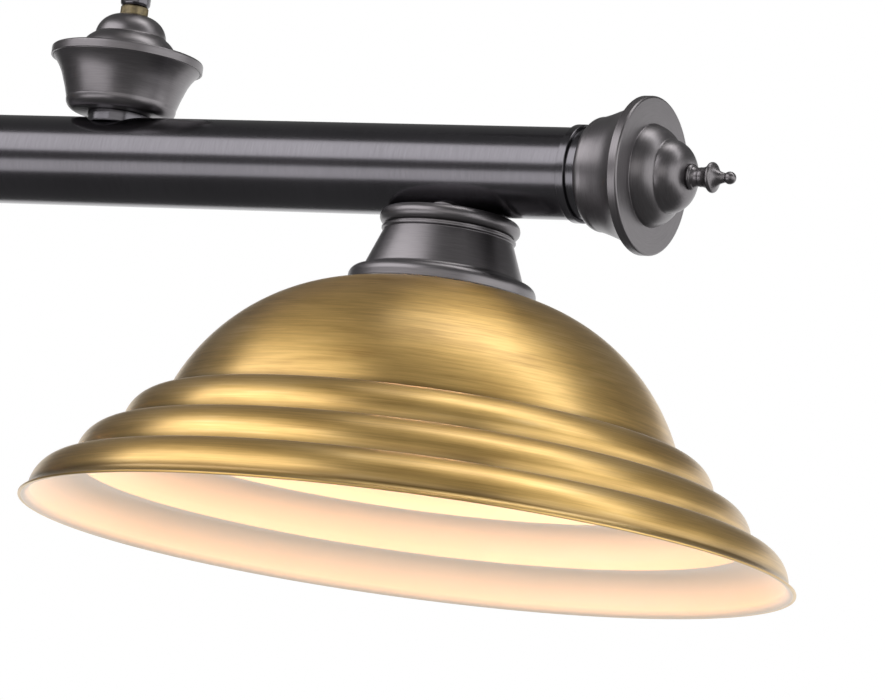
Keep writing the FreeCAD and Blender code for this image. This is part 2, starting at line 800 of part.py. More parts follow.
def canopyNut(label):
    """The knurled nut that holds the canopy up, round at its foot."""
    r, top, foot, edge = s.canopy_nut, s.canopy_gap, 1.6, 0.6
    return turned(label, [(s.nipple_radius, 0), (r - foot, 0, foot), (r, foot), (r, top - edge),
                          (r - edge, top), (s.nipple_radius, top)])


def strap(label):
    """The flat mounting strap with its stem hole and two screw holes."""
    body = newBody(label)
    sketch = newSketch(body, "XY_Plane")
    a, b = s.strap_length / 2, s.strap_width / 2
    outline(sketch, [(-1 * a, -1 * b), (a, -1 * b), (a, b), (-1 * a, b)])
    ringOf(sketch, 0, 0, s.nipple_radius)
    ringOf(sketch, s.strap_spacing / 2, 0, s.strap_hole)
    ringOf(sketch, -1 * s.strap_spacing / 2, 0, s.strap_hole)
    pad = body.newObject("PartDesign::Pad", "Strap")
    pad.Profile = sketch
    pad.setExpression("Length", s.strap_thickness.text)
    body.Tip = pad
    return body


def ceilingParts(pivot):
    pins, nuts, straps, strapNuts = [], [], [], []
    foot = pivot + s.stem_foot + s.canopy_gap
    ceiling = foot + s.canopy_depth
    for side in sides:
        x = hangX(side)
        keep(place(hanger(f"{side}_hanger"), x=x, z=pivot))
        keep(place(canopy(f"{side}_canopy"), x=x, z=foot))
        straps.append(place(strap("strap"), x=x, z=ceiling - s.strap_thickness))
        pins.append(place(swivelPin("pin"), x=x, z=pivot, axis=outX, angle=90))
        nuts.append(place(canopyNut("nut"), x=x, z=pivot + s.stem_foot))
        strapNuts.append(place(lockNut("nut"), x=x, z=ceiling - s.strap_thickness - s.nut_height))
    group("hanger_pins", pins)
    group("canopy_nuts", nuts)
    group("ceiling_straps", straps)
    group("strap_nuts", strapNuts)


# ---------------------------------------------------------------- wires inside the bar

def wires():
    """Insulated pairs from the right hang fitting along the bar and down to each socket."""
    radius, bend, gap = s.wire_radius.value, s.wire_bend.value, s.wire_half.value
    corner = bend * (1 - math.sqrt(0.5))
    low = (s.socket_top - s.wire_foot).value
    entry = hangX("right").value
    step = s.wire_step.value
    levels = {"left": step, "middle": 0, "right": -step}
    runs = []
    for name, x in lamps.items():
        x = valueOf(x)
        way = 1 if entry > x else -1
        level = s.bar_height.value + levels[name]
        for y in (-gap, gap):
            start = FreeCAD.Vector(x, y, low)
            turnLow = FreeCAD.Vector(x, y, level - bend)
            middle = FreeCAD.Vector(x + way * corner, y, level - corner)
            turnHigh = FreeCAD.Vector(x + way * bend, y, level)
            end = FreeCAD.Vector(entry - way * s.wire_end.value, y, level)
            path = Part.Wire([Part.LineSegment(start, turnLow).toShape(),
                              Part.Arc(turnLow, middle, turnHigh).toShape(),
                              Part.LineSegment(turnHigh, end).toShape()])
            section = Part.Wire(Part.Circle(start, FreeCAD.Vector(0, 0, 1), radius).toShape())
            runs.append(path.makePipeShell([section], True, False))
    harness = doc.addObject("Part::Feature", "Harness")
    harness.Label = "bar_wires"
    harness.Shape = Part.makeCompound(runs)
    harness.Placement = FreeCAD.Placement()
    keep(harness)


barTube()
barEnds()
lampUnits()
hangFittings()
upperPivot = rodsAndSwivels()
ceilingParts(upperPivot)
wires()
doc.recompute()

# ---------------------------------------------------------------- checks and files

for thing in doc.Objects:
    if "Invalid" in thing.State or "Error" in thing.State:
        raise SystemExit(f"{thing.Name} of {thing.Label} failed: {thing.State}")
for thing in subParts:
    if thing.Shape.isNull() or not thing.Shape.isValid() or not thing.Shape.Solids:
        raise SystemExit(f"{thing.Label} has no valid solid")

os.makedirs("parts", exist_ok=True)
for thing in subParts:
    thing.Shape.exportStep(f"parts/{thing.Label}.step")
print(len(subParts), "sub-parts; ceiling at",
      round(valueOf(upperPivot + s.stem_foot + s.canopy_gap + s.canopy_depth), 2))
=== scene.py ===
import bmesh
import bpy
import json
import math
from mathutils import Matrix, Vector


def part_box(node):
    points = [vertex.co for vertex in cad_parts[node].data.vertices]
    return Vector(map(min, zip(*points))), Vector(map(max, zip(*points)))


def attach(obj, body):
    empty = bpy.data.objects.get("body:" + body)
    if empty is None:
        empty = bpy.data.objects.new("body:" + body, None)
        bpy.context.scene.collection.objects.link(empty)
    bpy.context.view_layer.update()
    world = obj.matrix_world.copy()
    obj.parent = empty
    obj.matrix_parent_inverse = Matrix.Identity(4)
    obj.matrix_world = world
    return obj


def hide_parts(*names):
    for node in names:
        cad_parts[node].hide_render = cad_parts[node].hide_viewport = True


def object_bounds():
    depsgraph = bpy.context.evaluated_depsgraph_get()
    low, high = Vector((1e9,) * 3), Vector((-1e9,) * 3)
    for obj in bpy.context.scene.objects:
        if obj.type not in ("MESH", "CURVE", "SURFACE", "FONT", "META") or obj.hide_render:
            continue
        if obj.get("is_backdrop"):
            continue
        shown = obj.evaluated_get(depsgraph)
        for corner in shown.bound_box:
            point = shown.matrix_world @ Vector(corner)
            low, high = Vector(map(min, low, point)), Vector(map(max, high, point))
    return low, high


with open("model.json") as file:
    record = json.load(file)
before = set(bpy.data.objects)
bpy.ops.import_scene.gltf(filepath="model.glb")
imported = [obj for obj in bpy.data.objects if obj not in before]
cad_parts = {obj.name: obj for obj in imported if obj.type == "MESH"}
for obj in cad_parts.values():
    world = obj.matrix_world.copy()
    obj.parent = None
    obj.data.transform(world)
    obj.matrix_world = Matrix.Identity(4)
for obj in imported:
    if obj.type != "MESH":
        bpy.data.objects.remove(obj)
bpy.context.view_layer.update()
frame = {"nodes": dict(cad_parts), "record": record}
scene = bpy.context.scene
mm = 0.001
bodyOf = {node: body for body, nodes in frame["record"]["behaviour"]["bodies"].items()
          for node in nodes}
print("frame loaded,", len(frame["nodes"]), "nodes")


# outlines

fineness = {"turn": math.radians(5), "step": 4.0}


def curved(corners):
    # corners are (radius, height) in mm; a third number bends the way to the next one,
    # to the left where it is positive
    points = []
    for index, corner in enumerate(corners):
        start = Vector(corner[:2])
        points.append(start)
        if len(corner) < 3:
            continue
        end = Vector(corners[index + 1][:2])
        radius, side = abs(corner[2]), math.copysign(1, corner[2])
        way = end - start
        half = way.length / 2
        left = Vector((-way.y, way.x)).normalized()
        centre = (start + end) / 2 + left * side * math.sqrt(max(radius ** 2 - half ** 2, 0))
        turn = 2 * side * math.asin(min(half / radius, 1))
        steps = max(4, math.ceil(abs(turn) / fineness["turn"]),
                    math.ceil(2 * half / fineness["step"]))
        for step in range(1, steps):
            points.append(centre + Matrix.Rotation(turn * step / steps, 2) @ (start - centre))
    return points


shadeSizes = {
    "outer": [(20.8, 119.6), (25.4, 119.6, -98.2), (117.5, 55.4, -17.4), (135.4, 41.4),
              (135.4, 37.6, -17.4), (154.55, 23.6), (154.55, 19.8, -17.4), (173.7, 5.8),
              (173.7, 4.0, 4.4), (177.8, 1.0)],
    "rim": [(177.8, 0.0)], "sheet": 1.0, "creases": (2, 4, 6, 8), "rimWidth": 1.5,
    "edge": 0.45, "steps": 176,
}


def lengthTo(outer, index):
    # the way along an outline to one of its corners
    points = curved(outer[:index] + [outer[index][:2]])
    return sum((second - first).length for first, second in zip(points, points[1:]))


# finishes

class Signal:
    # a number between two nodes; arithmetic on it adds Math nodes
    def __init__(self, finish, socket):
        self.finish, self.socket = finish, socket

    def maths(self, operation, first, second):
        return self.finish.node("ShaderNodeMath", {"operation": operation}, {0: first, 1: second})

    def __add__(self, other):
        return self.maths("ADD", self, other)

    def __sub__(self, other):
        return self.maths("SUBTRACT", self, other)

    def __rsub__(self, other):
        return self.maths("SUBTRACT", other, self)

    def __mul__(self, other):
        return self.maths("MULTIPLY", self, other)

    __radd__, __rmul__ = __add__, __mul__


class Bench:
    # adds nodes to a tree
    def __init__(self, tree):
        self.tree = tree

    def fill(self, node, sockets):
        for key, value in sockets.items():
            if isinstance(value, Signal):
                self.tree.links.new(value.socket, node.inputs[key])
            else:
                node.inputs[key].default_value = value

    def node(self, kind, settings, sockets, output=0):
        node = self.tree.nodes.new(kind)
        for key, value in settings.items():
            if key == "stops":
                elements = node.color_ramp.elements
                for index, (place, colour) in enumerate(value):
                    stop = elements[index] if index < 2 else elements.new(place)
                    stop.position, stop.color = place, colour
            else:
                setattr(node, key, value)
        self.fill(node, sockets)
        return Signal(self, node.outputs[output])


class Finish(Bench):
    # a material and the record's slot that it stands for
    def __init__(self, name, slotName, **uniform):
        self.material = bpy.data.materials.new(name)
        self.material.use_nodes = True
        super().__init__(self.material.node_tree)
        self.slotName = slotName
        self.shader = next(n for n in self.tree.nodes if n.type == "BSDF_PRINCIPLED")
        self.drive(**uniform)

    def drive(self, **sockets):
        self.fill(self.shader, {key.replace("_", " "): value for key, value in sockets.items()})

    def noise(self, source, scale, detail=3.0, roughness=0.55):
        # source is an attribute's name, or "Object" for the row's own coordinates
        if source == "Object":
            place = self.node("ShaderNodeTexCoord", {}, {}, "Object")
        else:
            place = self.node("ShaderNodeAttribute", {"attribute_name": source}, {}, "Vector")
        place = self.node("ShaderNodeMapping", {}, {"Vector": place, "Scale": scale})
        return self.node("ShaderNodeTexNoise", {}, {"Vector": place, "Scale": 1.0,
                         "Detail": detail, "Roughness": roughness})

    def ramp(self, value, *stops):
        return self.node("ShaderNodeValToRGB", {"stops": stops}, {"Fac": value})

    def span(self, value, low, high):
        # 0 to 1 as value goes from low to high
        return self.node("ShaderNodeMapRange", {}, {"Value": value, "From Min": low,
                         "From Max": high})

    def mix(self, factor, first, second):
        return self.node("ShaderNodeMix", {"data_type": "RGBA"},
                         {0: factor, 6: first, 7: second}, 2)

    def bump(self, height, strength, distance):
        return self.node("ShaderNodeBump", {}, {"Height": height, "Strength": strength,
                         "Distance": distance})


bronzeLook = {
    "dark": (0.105, 0.101, 0.110, 1), "light": (0.140, 0.135, 0.147, 1),
    "roughness": 0.22, "uneven": 0.08, "coat": 0.2, "coatRoughness": 0.15,
    "lines": (2.2, 2.2, 1.3), "clouds": (14, 14, 14), "relief": 0.035, "lineShare": 0.55,
}
# cups, caps and collars are brushed coarser than the bar
turnedLook = dict(bronzeLook, dark=(0.145, 0.136, 0.142, 1), light=(0.215, 0.203, 0.210, 1),
                  roughness=0.36, uneven=0.14, coat=0.12, coatRoughness=0.3,
                  lines=(3.0, 3.0, 2.1), relief=0.09)


def bronzeFinish(name, look):
    bronze = Finish(name, "bronze_frame", Metallic=1.0, Coat_Weight=look["coat"],
                    Coat_Roughness=look["coatRoughness"])
    lines = bronze.noise("grain", look["lines"], 4.0, 0.6)
    clouds = bronze.noise("Object", look["clouds"], 2.0)
    worn = lines * look["lineShare"] + clouds * (1 - look["lineShare"])
    bronze.drive(Base_Color=bronze.mix(bronze.span(worn, 0.3, 0.7), look["dark"], look["light"]),
                 Roughness=look["roughness"] + look["uneven"] * (worn - 0.5),
                 Normal=bronze.bump(lines, look["relief"], 0.2 * mm))
    return bronze


brassLook = {
    "brown": (0.40, 0.235, 0.060, 1), "rubbed": (0.70, 0.455, 0.145, 1),
    "bright": (0.90, 0.65, 0.30, 1),
    "roughness": 0.38, "uneven": 0.12, "coat": 0.4, "coatRoughness": 0.3, "coatIor": 1.7,
    "stretch": 0.65, "relief": 0.09, "shares": (0.35, 0.3, 0.35), "stops": (0.34, 0.52, 0.68),
    # crease colour: brown of patina and painted shade at the inward corners between dome, ribs and
    # lip
    "patinaAndCreaseShade": (0.12, 0.068, 0.02, 1), "depth": 0.75, "reach": 3.2,
    "lines": (3.2, 3.2, 0.9), "strokes": (2.4, 2.4, 0.11), "clouds": (9, 9, 9),
}


def creasePatinaAndShadeStops(sizes, reach):
    # stops of a ramp along the shade's outline, 1 at each inward corner between dome, ribs and lip,
    # where the brass takes patina and painted shade
    outer = sizes["outer"]
    total = lengthTo(outer, len(outer) - 1)
    stops = [(0.0, (0, 0, 0, 1))]
    for corner in sizes["creases"]:
        place = lengthTo(outer, corner)
        for side in (-1, 0, 1):
            level = 1 - abs(side)
            stops.append(((place + side * reach) / total, (level, level, level, 1)))
    return total, stops


def brassFinish():
    look = brassLook
    brass = Finish("rubbedBrass", "brass_shade", Metallic=1.0, Coat_Weight=look["coat"],
                   Coat_Roughness=look["coatRoughness"], Coat_IOR=look["coatIor"],
                   Anisotropic=look["stretch"], Anisotropic_Rotation=0.25)
    lines = brass.noise("grain", look["lines"], 6.0, 0.68)
    strokes = brass.noise("grain", look["strokes"], 3.0)
    clouds = brass.noise("Object", look["clouds"], 2.0)
    worn = sum(share * noise for share, noise in zip(look["shares"], (lines, strokes, clouds)))
    colours = look["brown"], look["rubbed"], look["bright"]
    rubbed = brass.ramp(worn, *zip(look["stops"], colours))
    total, stops = creasePatinaAndShadeStops(shadeSizes, look["reach"])
    grain = brass.node("ShaderNodeAttribute", {"attribute_name": "grain"}, {}, "Vector")
    along = brass.node("ShaderNodeSeparateXYZ", {}, {"Vector": grain}, "Z")
    # darker brown at each inward corner of the shade: partly patina, partly painted shade standing
    # in for the shadow in the creases
    patinaAndCreaseShade = brass.ramp(brass.span(along, 0, total), *stops)
    brass.drive(Base_Color=brass.mix(patinaAndCreaseShade * look["depth"], rubbed, look["patinaAndCreaseShade"]),
                Roughness=look["roughness"] - look["uneven"] * (worn - 0.5),
                Normal=brass.bump(lines, look["relief"], 0.25 * mm))
    return brass


enamelLook = {
    "white": (0.90, 0.75, 0.60, 1), "worn": (0.86, 0.71, 0.56, 1),
    "roughness": 0.42, "coat": 0.12, "coatRoughness": 0.25, "peel": (260, 260, 260), "relief": 0.05,
}


def enamelFinish():
    look = enamelLook
    enamel = Finish("warmEnamel", "brass_shade", Roughness=look["roughness"],
                    Coat_Weight=look["coat"], Coat_Roughness=look["coatRoughness"])
    peel = enamel.noise("Object", look["peel"], 2.0)
    cloud = enamel.noise("Object", (16, 16, 16), 2.0)
    enamel.drive(Base_Color=enamel.mix(cloud, look["white"], look["worn"]),
                 Normal=enamel.bump(peel, look["relief"], 0.2 * mm))
    return enamel


metalLooks = {
    # name: (slot in the record, dark, light, roughness)
    "zincPlate": ("zinc_steel", (0.46, 0.46, 0.47, 1), (0.66, 0.66, 0.67, 1), 0.3),
    "brassFitting": ("brass_fitting", (0.38, 0.27, 0.12, 1), (0.72, 0.55, 0.28, 1), 0.28),
    "agedFitting": ("brass_fitting", (0.10, 0.085, 0.06, 1), (0.26, 0.21, 0.12, 1), 0.34),
    "rolledBase": ("bulb_base", (0.6, 0.6, 0.6, 1), (0.8, 0.8, 0.8, 1), 0.3),
}


def plainMetal(name):
    slotName, dark, light, roughness = metalLooks[name]
    metal = Finish(name, slotName, Metallic=1.0)
    spots = metal.noise("Object", (300, 300, 300), 4.0, 0.6)
    metal.drive(Base_Color=metal.mix(metal.span(spots, 0.3, 0.7), dark, light),
                Roughness=roughness + 0.2 * (spots - 0.5),
                Normal=metal.bump(spots, 0.12, 0.15 * mm))
    return metal


glazeLook = {"white": (0.84, 0.82, 0.77, 1), "shade": (0.75, 0.73, 0.68, 1), "roughness": 0.16}


def glazeFinish():
    glaze = Finish("glazedWhite", "socket_porcelain", Roughness=glazeLook["roughness"],
                   Coat_Weight=0.5, Coat_Roughness=0.05)
    cloud = glaze.noise("Object", (60, 60, 60), 3.0)
    glaze.drive(Base_Color=glaze.mix(cloud, glazeLook["white"], glazeLook["shade"]))
    return glaze


bulbLook = {"glow": (1.0, 0.60, 0.33, 1), "strength": 17.0,
            "frost": (0.92, 0.90, 0.86, 1), "shade": (0.86, 0.84, 0.80, 1)}


def bulbFinish():
    bulb = Finish("frostedBulb", "bulb_glass", Roughness=0.35, Coat_Weight=0.3,
                  Emission_Strength=bulbLook["strength"])
    frost = bulb.noise("Object", (90, 90, 90), 3.0)
    pale = tuple(0.9 + 0.1 * v for v in bulbLook["glow"][:3]) + (1,)
    bulb.drive(Base_Color=bulb.mix(frost, bulbLook["frost"], bulbLook["shade"]),
               Emission_Color=bulb.mix(frost * 0.15, bulbLook["glow"], pale))
    return bulb


rubberLook = {"dark": (0.015, 0.015, 0.016, 1), "light": (0.03, 0.03, 0.032, 1),
              "roughness": 0.5}


def rubberFinish():
    rubber = Finish("wireCover", "wire_insulation", Roughness=rubberLook["roughness"])
    cloud = rubber.noise("Object", (120, 120, 120), 3.0)
    rubber.drive(Base_Color=rubber.mix(cloud, rubberLook["dark"], rubberLook["light"]))
    return rubber


bronze = bronzeFinish("brushedBronze", bronzeLook)
turnedBronze = bronzeFinish("turnedBronze", turnedLook)
brass = brassFinish()
enamel = enamelFinish()
glaze = glazeFinish()
bulb = bulbFinish()
rubber = rubberFinish()
zinc, fitting, agedFitting, screwBase = [plainMetal(name) for name in metalLooks]
print("finishes made")


# turning

easing = {"sharp": math.radians(16), "most": 0.3, "clear": 1.5,
          "shares": (-0.25, 0, 0.25, 0.5, 0.75, 1, 1.25)}


def eased(points, edge, closed):
    # the line as (length along it, point), with every sharp corner rounded by about `edge`
    count = len(points)
    lengths = [0.0]
    for first, second in zip(points, points[1:] + points[:1]):
        lengths.append(lengths[-1] + (second - first).length)
    total = lengths[-1]

    def at(length):
        length = length % total if closed else min(max(length, 0), lengths[count - 1])
        index = max(i for i in range(count) if lengths[i] <= length + 1e-9)
        first, second = points[index], points[(index + 1) % count]
        step = (second - first).length
        return first.lerp(second, (length - lengths[index]) / step if step else 0)

    sharp = []
    for index in range(count) if closed else range(1, count - 1):
        before = points[index] - points[index - 1]
        after = points[(index + 1) % count] - points[index]
        if before.angle(after) > easing["sharp"]:
            sharp.append(index)
    cuts = []
    stops = [lengths[i] for i in sharp]
    if closed and stops:
        stops = [stops[-1] - total] + stops + [stops[0] + total]
    else:
        stops = [-edge] + stops + [lengths[count - 1] + edge]
    for place, index in enumerate(sharp, 1):
        gap = min(stops[place] - stops[place - 1], stops[place + 1] - stops[place])
        cuts.append((lengths[index], min(edge, easing["most"] * gap), points[index]))
    line = []
    for index, point in enumerate(points):
        apart = [min(abs(lengths[index] - middle), total - abs(lengths[index] - middle))
                 - easing["clear"] * reach for middle, reach, _ in cuts]
        if not apart or min(apart) > 1e-6:
            line.append((lengths[index], point))
    for middle, reach, corner in cuts:
        start, end = at(middle - reach), at(middle + reach)
        for share in easing["shares"]:
            length = middle + reach * (2 * share - 1)
            if 0 <= share <= 1:
                point = start.lerp(corner, share).lerp(corner.lerp(end, share), share)
            else:
                point = at(length)
            line.append((length, point))
    return sorted(line, key=lambda stop: stop[0])


def spun(line, steps, closed, finishes, ridges=None, split=None):
    # turns a line round +Z; faces whose way along the line is past split take the second finish
    shape = bmesh.new()
    grain = shape.verts.layers.float_vector.new("grain")
    verts = []
    for length, point in line:
        vert = shape.verts.new((point.x * mm, 0, point.y * mm))
        vert[grain] = (0, 0, length)
        verts.append(vert)
    pairs = zip(verts, verts[1:] + verts[:1] if closed else verts[1:])
    edges = [shape.edges.new(pair) for pair in pairs]
    bmesh.ops.spin(shape, geom=verts + edges, cent=(0, 0, 0), axis=(0, 0, 1), dvec=(0, 0, 0),
                   angle=2 * math.pi, space=Matrix.Identity(4), steps=steps, use_merge=True)
    bmesh.ops.remove_doubles(shape, verts=shape.verts, dist=1e-7)
    for vert in shape.verts:
        radius = vert.co.xy.length
        if radius > 1e-7:
            vert[grain] = (vert.co.x / radius, vert.co.y / radius, vert[grain].z)
        if ridges and ridges["low"] < vert.co.z / mm < ridges["high"] and \
                radius > ridges["inside"] * mm:
            step = round(math.atan2(vert.co.y, vert.co.x) / (2 * math.pi / steps))
            if step % 2:
                vert.co.xy *= 1 - ridges["depth"] * mm / radius
    bmesh.ops.recalc_face_normals(shape, faces=shape.faces)
    for face in shape.faces:
        face.smooth = True
        if split is not None:
            along = sum(vert[grain].z for vert in face.verts) / len(face.verts)
            face.material_index = 1 if along > split else 0
    return meshOf(shape, finishes)


def meshOf(shape, finishes):
    mesh = bpy.data.meshes.new("turned")
    shape.to_mesh(mesh)
    shape.free()
    for finish in finishes:
        mesh.materials.append(finish.material)
    return mesh


def addPiece(name, mesh, finish, *nodes):
    mesh.name = name
    piece = bpy.data.objects.new(name, mesh)
    scene.collection.objects.link(piece)
    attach(piece, bodyOf[nodes[0]])
    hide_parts(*nodes)
    return piece


boxes = {node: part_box(node) for node in frame["nodes"]}
middles = {node: (low + high) / 2 for node, (low, high) in boxes.items()}
turns = {"up": Matrix.Identity(4), "right": Matrix.Rotation(math.pi / 2, 4, "Y"),
         "left": Matrix.Rotation(-math.pi / 2, 4, "Y")}


def footOf(node, facing, lowest):
    # where a turned piece's height 0 stands, from the box of the node that it replaces
    low, high = boxes[node]
    middle = middles[node]
    if facing == "up":
        return Vector((middle.x, middle.y, low.z - lowest * mm))
    if facing == "right":
        return Vector((low.x - lowest * mm, middle.y, middle.z))
    return Vector((high.x + lowest * mm, middle.y, middle.z))


def standing(name, base, finish, node, facing, foot):
    # a copy of a turned mesh, its axis from foot and facing up, right or left
    mesh = base.copy()
    mesh.transform(Matrix.Translation(foot) @ turns[facing])
    return addPiece(name, mesh, finish, node)


def turnedPieces(places, corners, finish, edge=0.3, steps=96, closed=True, ridges=None):
    # places: (piece's name, node, facing, foot); without a foot the node's box gives it
    points = curved(corners)
    base = spun(eased(points, edge, closed), steps, closed, [finish], ridges)
    lowest = min(point.y for point in points)
    for name, node, facing, foot in places:
        foot = footOf(node, facing, lowest) if foot is None else foot
        standing(name, base, finish, node, facing, foot)


def sheetLine(outer, rim, shift):
    # a wall of one sheet: the outer line, the rim, and the outer line moved in by the sheet
    inner = [(r + shift[0], h + shift[1], *bend) for r, h, *bend in outer]
    back = list(reversed(curved(inner)))
    return curved(outer), [Vector(p) for p in rim], back


# shades

lamps = ("left", "middle", "right")


def shadePieces(sizes):
    outer, rim, inner = sheetLine(sizes["outer"], sizes["rim"], (-sizes["sheet"], -sizes["sheet"]))
    line = eased(outer + rim + inner, sizes["edge"], True)
    overRim = sum((b - a).length for a, b in zip(outer, outer[1:] + rim)) + sizes["rimWidth"]
    base = spun(line, sizes["steps"], True, [brass, enamel], split=overRim)
    for lamp in lamps:
        node = f"{lamp}_shade"
        shade = standing(f"{lamp}Shade", base, brass, node, "up", footOf(node, "up", 0))
        # the bronze mirrors the dark room behind the shades, not their brass
        shade.visible_glossy = False


shadePieces(shadeSizes)

holderSizes = {
    "line": [(5.1, 146), (31, 146), (31, 145), (30, 144.4), (36.5, 127.5, 2.4), (38.5, 125.5),
             (40.7, 125.3, -4.6), (43.3, 120.7), (43.3, 118.3), (42.3, 118.3),
             (42.3, 120.7, 4.6), (40.3, 124.3), (37.5, 124.5, -2.4), (35.5, 126.5), (29, 145),
             (5.1, 145)],
    "edge": 0.4,
}
collarSizes = {
    "line": [(5.1, 146), (29.5, 146), (29.5, 147), (29.7, 147, 3.9), (29.7, 154.4), (12, 154.4),
             (12, 162), (5.1, 162)],
    "edge": 0.4,
}
socketSizes = {
    "line": [(4.9, 144.6), (16.8, 144.6, -3), (19.8, 141.6), (19.8, 109.5), (14.6, 109.5),
             (14.6, 137.6), (4.9, 137.6)],
    "edge": 0.6,
}
shadeRingSizes = {
    "line": [(19.8, 113.6), (25, 113.6), (29, 117), (29, 118), (24, 118.6), (19.8, 118.6)],
    "edge": 0.4,
}
bulbSizes = {"line": [(0, 35, 30), (25.6, 80.6, -107), (13.1, 110.5), (0, 110.5)], "edge": 0.5}
baseSizes = {"radius": 13.1, "groove": 12.4, "foot": 110.5, "top": 135.7, "pitch": 3.6}


def baseLine(sizes):
    # the rolled thread as rounded ridges
    line = [(0, sizes["foot"]), (sizes["radius"], sizes["foot"])]
    height = sizes["foot"] + 3.0
    while height + sizes["pitch"] < sizes["top"] - 2.0:
        half = sizes["pitch"] / 2
        line += [(sizes["groove"], height, 2.2), (sizes["groove"], height + half, -2.6)]
        height += sizes["pitch"]
    return line + [(sizes["groove"], height), (sizes["groove"] - 2.5, sizes["top"]),
                   (0, sizes["top"])]


def lampPlaces(pieceName, nodeName):
    return [(lamp + pieceName, f"{lamp}_{nodeName}", "up", None) for lamp in lamps]


turnedPieces(lampPlaces("Holder", "shade_holder"), holderSizes["line"], turnedBronze,
             holderSizes["edge"], 128)
turnedPieces(lampPlaces("Collar", "neck_collar"), collarSizes["line"], turnedBronze,
             collarSizes["edge"], 128)
turnedPieces(lampPlaces("Socket", "socket"), socketSizes["line"], glaze, socketSizes["edge"], 80)
turnedPieces(lampPlaces("Bulb", "bulb_glass"), bulbSizes["line"], bulb, bulbSizes["edge"], 80,
             False)
for lamp in lamps:
    bpy.data.objects[f"{lamp}Bulb"].visible_glossy = False
turnedPieces(lampPlaces("BulbBase", "bulb_base"), baseLine(baseSizes), screwBase, 0.3, 64, False)
rims = {lamp: footOf(f"{lamp}_shade", "up", 0) for lamp in lamps}
turnedPieces([(f"{lamp}ShadeRing", "shade_rings", "up", rims[lamp]) for lamp in lamps],
             shadeRingSizes["line"], glaze, shadeRingSizes["edge"], 80)
print("lamps made")


# bar and its ends

barLow, barHigh = boxes["bar_tube"]
barSizes = {"radius": 21.1, "bore": 19.5, "edge": 0.3, "steps": 144, "runs": 24}


def tubeLine(sizes, length):
    # a tube's outline, its outer wall in several runs
    wall = [(sizes["radius"], length * run / sizes["runs"]) for run in range(sizes["runs"] + 1)]
    return wall + [(sizes["bore"], length), (sizes["bore"], 0)]


turnedPieces([("bar", "bar_tube", "right", None)], tubeLine(barSizes, (barHigh.x - barLow.x) / mm),
             bronze, barSizes["edge"], barSizes["steps"])

cupSizes = {
    "outer": [(21.6, 0, 4.9), (26.2, 5.4, -62), (28.9, 14.0, -26), (35.0, 24.6)],
    "rim": [(35.0, 25.6)], "barHole": 21.1, "nippleHole": 5.1, "edge": 0.25,
}
capSizes = {
    "outer": [(5.1, 23.6), (5.7, 23.6, -11.2), (16.9, 13.6), (17.2, 13.2, -13), (23.5, 4.5),
              (35.0, 4.5, -1.1), (36.1, 3.4)],
    "rim": [(36.1, 0), (35.1, 0)], "edge": 0.25,
}
canopySizes = {
    "outer": [(5.1, 0), (15, 0, 6), (19, 2.5, -9), (25, 5, 44), (61.5, 22), (63.5, 22)],
    "rim": [(63.5, 27), (62.5, 27)], "edge": 0.4,
}
finialSizes = {
    "line": [(0, -3), (4.2, -3), (4.2, 0), (5.6, 0, 1.3), (4.9, 2.2, -4), (4.5, 5.4, -5),
             (6.75, 10.2, 1.2), (6.3, 12, -6), (2.5, 16.0), (2.1, 17.7, 2.9), (0, 22.6)],
    "edge": 0.2,
}
ferruleSizes = {"outer": 22.5, "inner": 21.1, "width": 4.2, "edge": 0.5}
saddleSizes = {"outer": 15.0, "inner": 5.1, "edge": 0.5}
lockRingSizes = {"outer": 6.6, "inner": 4.9, "edge": 0.35, "plain": 0.3, "depth": 0.45}
canopyNutSizes = {"outer": 9.0, "inner": 5.1, "edge": 0.5, "plain": 1.0, "depth": 0.5}
sides = ("left", "right")


def sheetPieces(places, sizes, rise, steps=144):
    # spun from one sheet; rise is which way the inner wall is moved along the axis
    outer, rim, inner = sheetLine(sizes["outer"], sizes["rim"], (-1, rise))
    inner[-1] = Vector((outer[0].x, outer[0].y + rise))
    base = spun(eased(outer + rim + inner, sizes["edge"], True), steps, True, [turnedBronze])
    for name, node, facing in places:
        standing(name, base, turnedBronze, node, facing, footOf(node, facing, 0))


def ringPieces(names, node, sizes, finish, facing, feet, height, steps=96):
    ridges = None
    corners = [(sizes["inner"], 0), (sizes["outer"], 0), (sizes["outer"], height),
               (sizes["inner"], height)]
    if "plain" in sizes:
        ridges = {"low": sizes["plain"], "high": height - sizes["plain"],
                  "inside": sizes["outer"] - 1.0, "depth": sizes["depth"]}
    turnedPieces([(name, node, facing, foot) for name, foot in zip(names, feet)], corners,
                 finish, sizes["edge"], steps, ridges=ridges)


endCup = dict(cupSizes, outer=[(cupSizes["barHole"], 0)] + cupSizes["outer"])
hangCup = dict(cupSizes, outer=[(cupSizes["nippleHole"], 0)] + cupSizes["outer"])
sheetPieces([(f"{side}EndCup", f"{side}_end_cup", side) for side in sides], endCup, 1)
sheetPieces([(f"{side}HangCup", f"{side}_hang_cup", "up") for side in sides], hangCup, 1)
sheetPieces([(f"{side}EndCap", f"{side}_end_cap", side) for side in sides] +
            [(f"{side}HangCap", f"{side}_hang_cap", "up") for side in sides], capSizes, -1)
sheetPieces([(f"{side}Canopy", f"{side}_canopy", "up") for side in sides], canopySizes, 1)
turnedPieces([(f"{side}Finial", f"{side}_finial", side, None) for side in sides],
             finialSizes["line"], turnedBronze, finialSizes["edge"], 72, False)

low, high = boxes["bar_ferrules"]
middle = middles["bar_tube"]
feet = [Vector((x, middle.y, middle.z)) for x in (low.x, high.x - ferruleSizes["width"] * mm)]
ringPieces(["leftFerrule", "rightFerrule"], "bar_ferrules", ferruleSizes, bronze, "right", feet,
           ferruleSizes["width"], 144)


